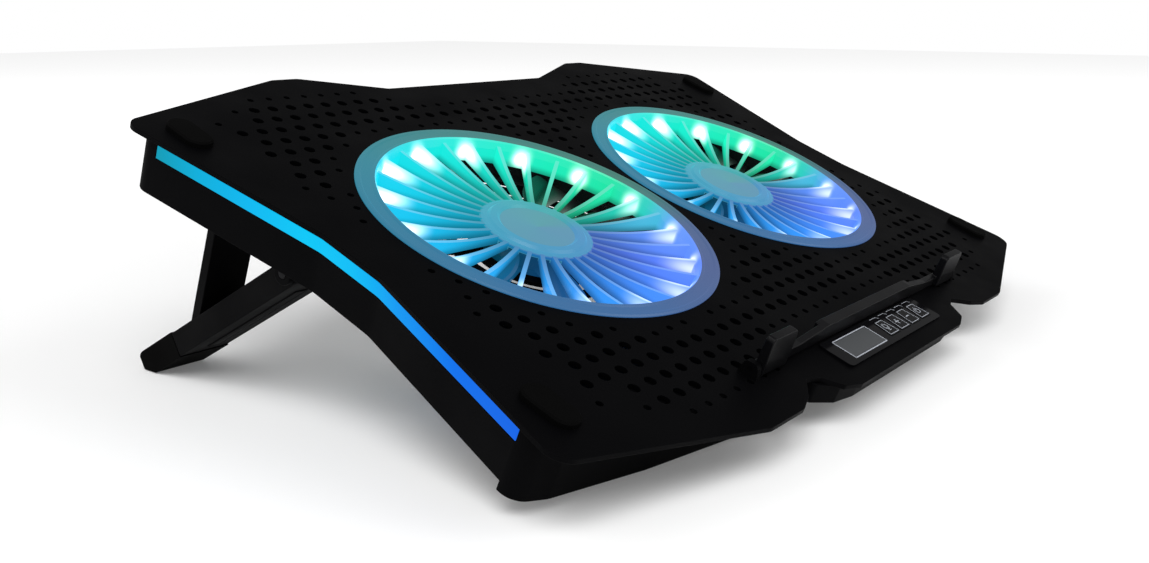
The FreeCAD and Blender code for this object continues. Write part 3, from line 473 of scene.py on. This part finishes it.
def ink_stroke(work, start, end, width, height):
    """One straight stroke of ink between two points of the plate's own frame."""
    along = Vector(end) - Vector(start)
    middle = (Vector(start) + Vector(end)) / 2
    turn = Matrix.Rotation(math.atan2(along.y, along.x), 4, "Z")
    size = Matrix.Diagonal((along.length + width, width, ink_height, 1))
    place = Matrix.Translation((middle.x, middle.y, height + ink_height / 2))
    bmesh.ops.create_cube(work, size=1.0, matrix=pad_matrix @ place @ turn @ size)


def ink_path(work, points, width, height, closed=True):
    """Strokes of ink from point to point, and back to the first where the path is closed."""
    for i in range(len(points) if closed else len(points) - 1):
        ink_stroke(work, points[i], points[(i + 1) % len(points)], width, height)


def ink_arc(centre_x, centre_y, radius, first, last, steps):
    """Points along an arc, in degrees."""
    angles = [math.radians(first + (last - first) * i / steps) for i in range(steps + 1)]
    return [(centre_x + radius * math.cos(a), centre_y + radius * math.sin(a), 0) for a in angles]


def display_print(work):
    """Border round the display, and the level marks along the rear edge."""
    left, right = display_x - display_half_width, display_x + display_half_width
    front, rear = key_row_y - display_half_depth, key_row_y + display_half_depth
    ink_path(work, [(left, rear, 0), (right, rear, 0), (right, front, 0), (left, front, 0)],
             0.0005, lens_top)
    for i in range(level_mark_count):
        x, y = level_mark_x + level_mark_pitch * i, key_row_y + level_mark_rise
        ink_path(work, [(x - 0.0024, y, 0), (x + 0.0030, y, 0), (x + 0.0042, y - 0.0012, 0)],
                 0.0002, lens_top, closed=False)


def key_print(x, sign):
    """Maker of one key's outline and its sign: lamp, plus, minus or power."""
    y = key_row_y
    rear, front = y + key_half_depth, y - key_half_depth
    rear_left, rear_right = x - key_half_width + 0.0013, x + key_half_width - 0.0006

    def draw(work):
        ink_path(work, [(rear_left, rear, 0), (rear_right, rear, 0), (x + key_half_width, front, 0),
                        (x - key_half_width, front, 0)], 0.00027, key_top)
        if sign == "lamp":
            ink_path(work, ink_arc(x, y + 0.0006, 0.0014, -60, 240, 10), 0.0007, key_top, closed=False)
            for drop in (0.0013, 0.0020):
                ink_stroke(work, (x - 0.0007, y - drop, 0), (x + 0.0007, y - drop, 0), 0.00035, key_top)
        if sign in ("plus", "minus"):
            ink_stroke(work, (x - 0.0013, y, 0), (x + 0.0013, y, 0), 0.0005, key_top)
        if sign == "plus":
            ink_stroke(work, (x, y - 0.0013, 0), (x, y + 0.0013, 0), 0.0005, key_top)
        if sign == "power":
            ink_path(work, ink_arc(x, y, 0.0016, 125, 415, 12), 0.0004, key_top, closed=False)
            ink_stroke(work, (x, y + 0.0003, 0), (x, y + 0.0021, 0), 0.0004, key_top)
    return draw


# each key's print moves with the key
new_piece("display_border", display_print, ink_white, "pad")
for i, (body, sign) in enumerate((("light_key", "lamp"), ("speed_up_key", "plus"),
                                  ("speed_down_key", "minus"), ("power_key", "power"))):
    piece = new_piece(body + "_print", key_print(first_key_x + key_pitch * i, sign), ink_white, body)

# ---- Sockets, leads, screws and pins ------------------------------------------------------
# Pressed socket shells at the back, soldered to their board, the wiring inside, and the
# self-tapping screws and steel pins that hold the pad together.
# nickel plate: warm silver, bright but not a mirror
nickel = new_material("nickel_plated_steel", "#C4C2BC", 0.25, Metallic=1.0)
add_grain(nickel, 0.4, 0.00001, 0.20, 0.34)
# extruded PVC: black with a soft, waxy sheen
pvc = new_material("pvc_sheath", "#0C0C0C", 0.45)
add_grain(pvc, 0.6, 0.00002, 0.38, 0.52)
# black zinc plate: a dark metal with blurred highlights
black_zinc = new_material("black_zinc", "#141416", 0.45, Metallic=1.0)
add_grain(black_zinc, 0.3, 0.00001, 0.38, 0.52)
finish_nodes(nickel, "usb_socket_left", "usb_socket_right")
finish_nodes(pvc, "fan_lead_left", "fan_lead_right", "usb_lead")
finish_nodes(ground_steel, "prop_pin_left", "prop_pin_right")
finish_nodes(black_zinc, "shell_screws", "fan_screws", "leg_pins", "stopper_pins")

# ---- Rubber pads and feet -----------------------------------------------------------------
# Moulded nitrile rubber, glued into shallow seats or pushed over the leg's end.
# It is dead black and dull, with a slightly uneven bloom.
rubber = new_material("moulded_rubber", "#040404", 0.8, Specular_IOR_Level=0.03)
add_grain(rubber, 0.9, 0.00006, 0.70, 0.88)
finish_nodes(rubber, "grip_pads", "front_foot_left", "front_foot_right", "leg_foot_left", "leg_foot_right")

# ---- Legs and props -----------------------------------------------------------------------
# Glass-filled nylon, moulded, hinged on steel pins: each prop folds into a pocket of its leg.
# It is a dry black with a coarser grain than the shell, drawn at 0.7 mm.
nylon = new_material("glass_filled_nylon", "#050506", 0.6, Specular_IOR_Level=0.03)
add_grain(nylon, 0.7, 0.00008, 0.52, 0.66)
for side in ("left", "right"):
    softened("leg_" + side, "leg_skin_" + side, nylon, 0.5, side + "_leg")
    softened("prop_" + side, "prop_skin_" + side, nylon, 0.4, side + "_prop")
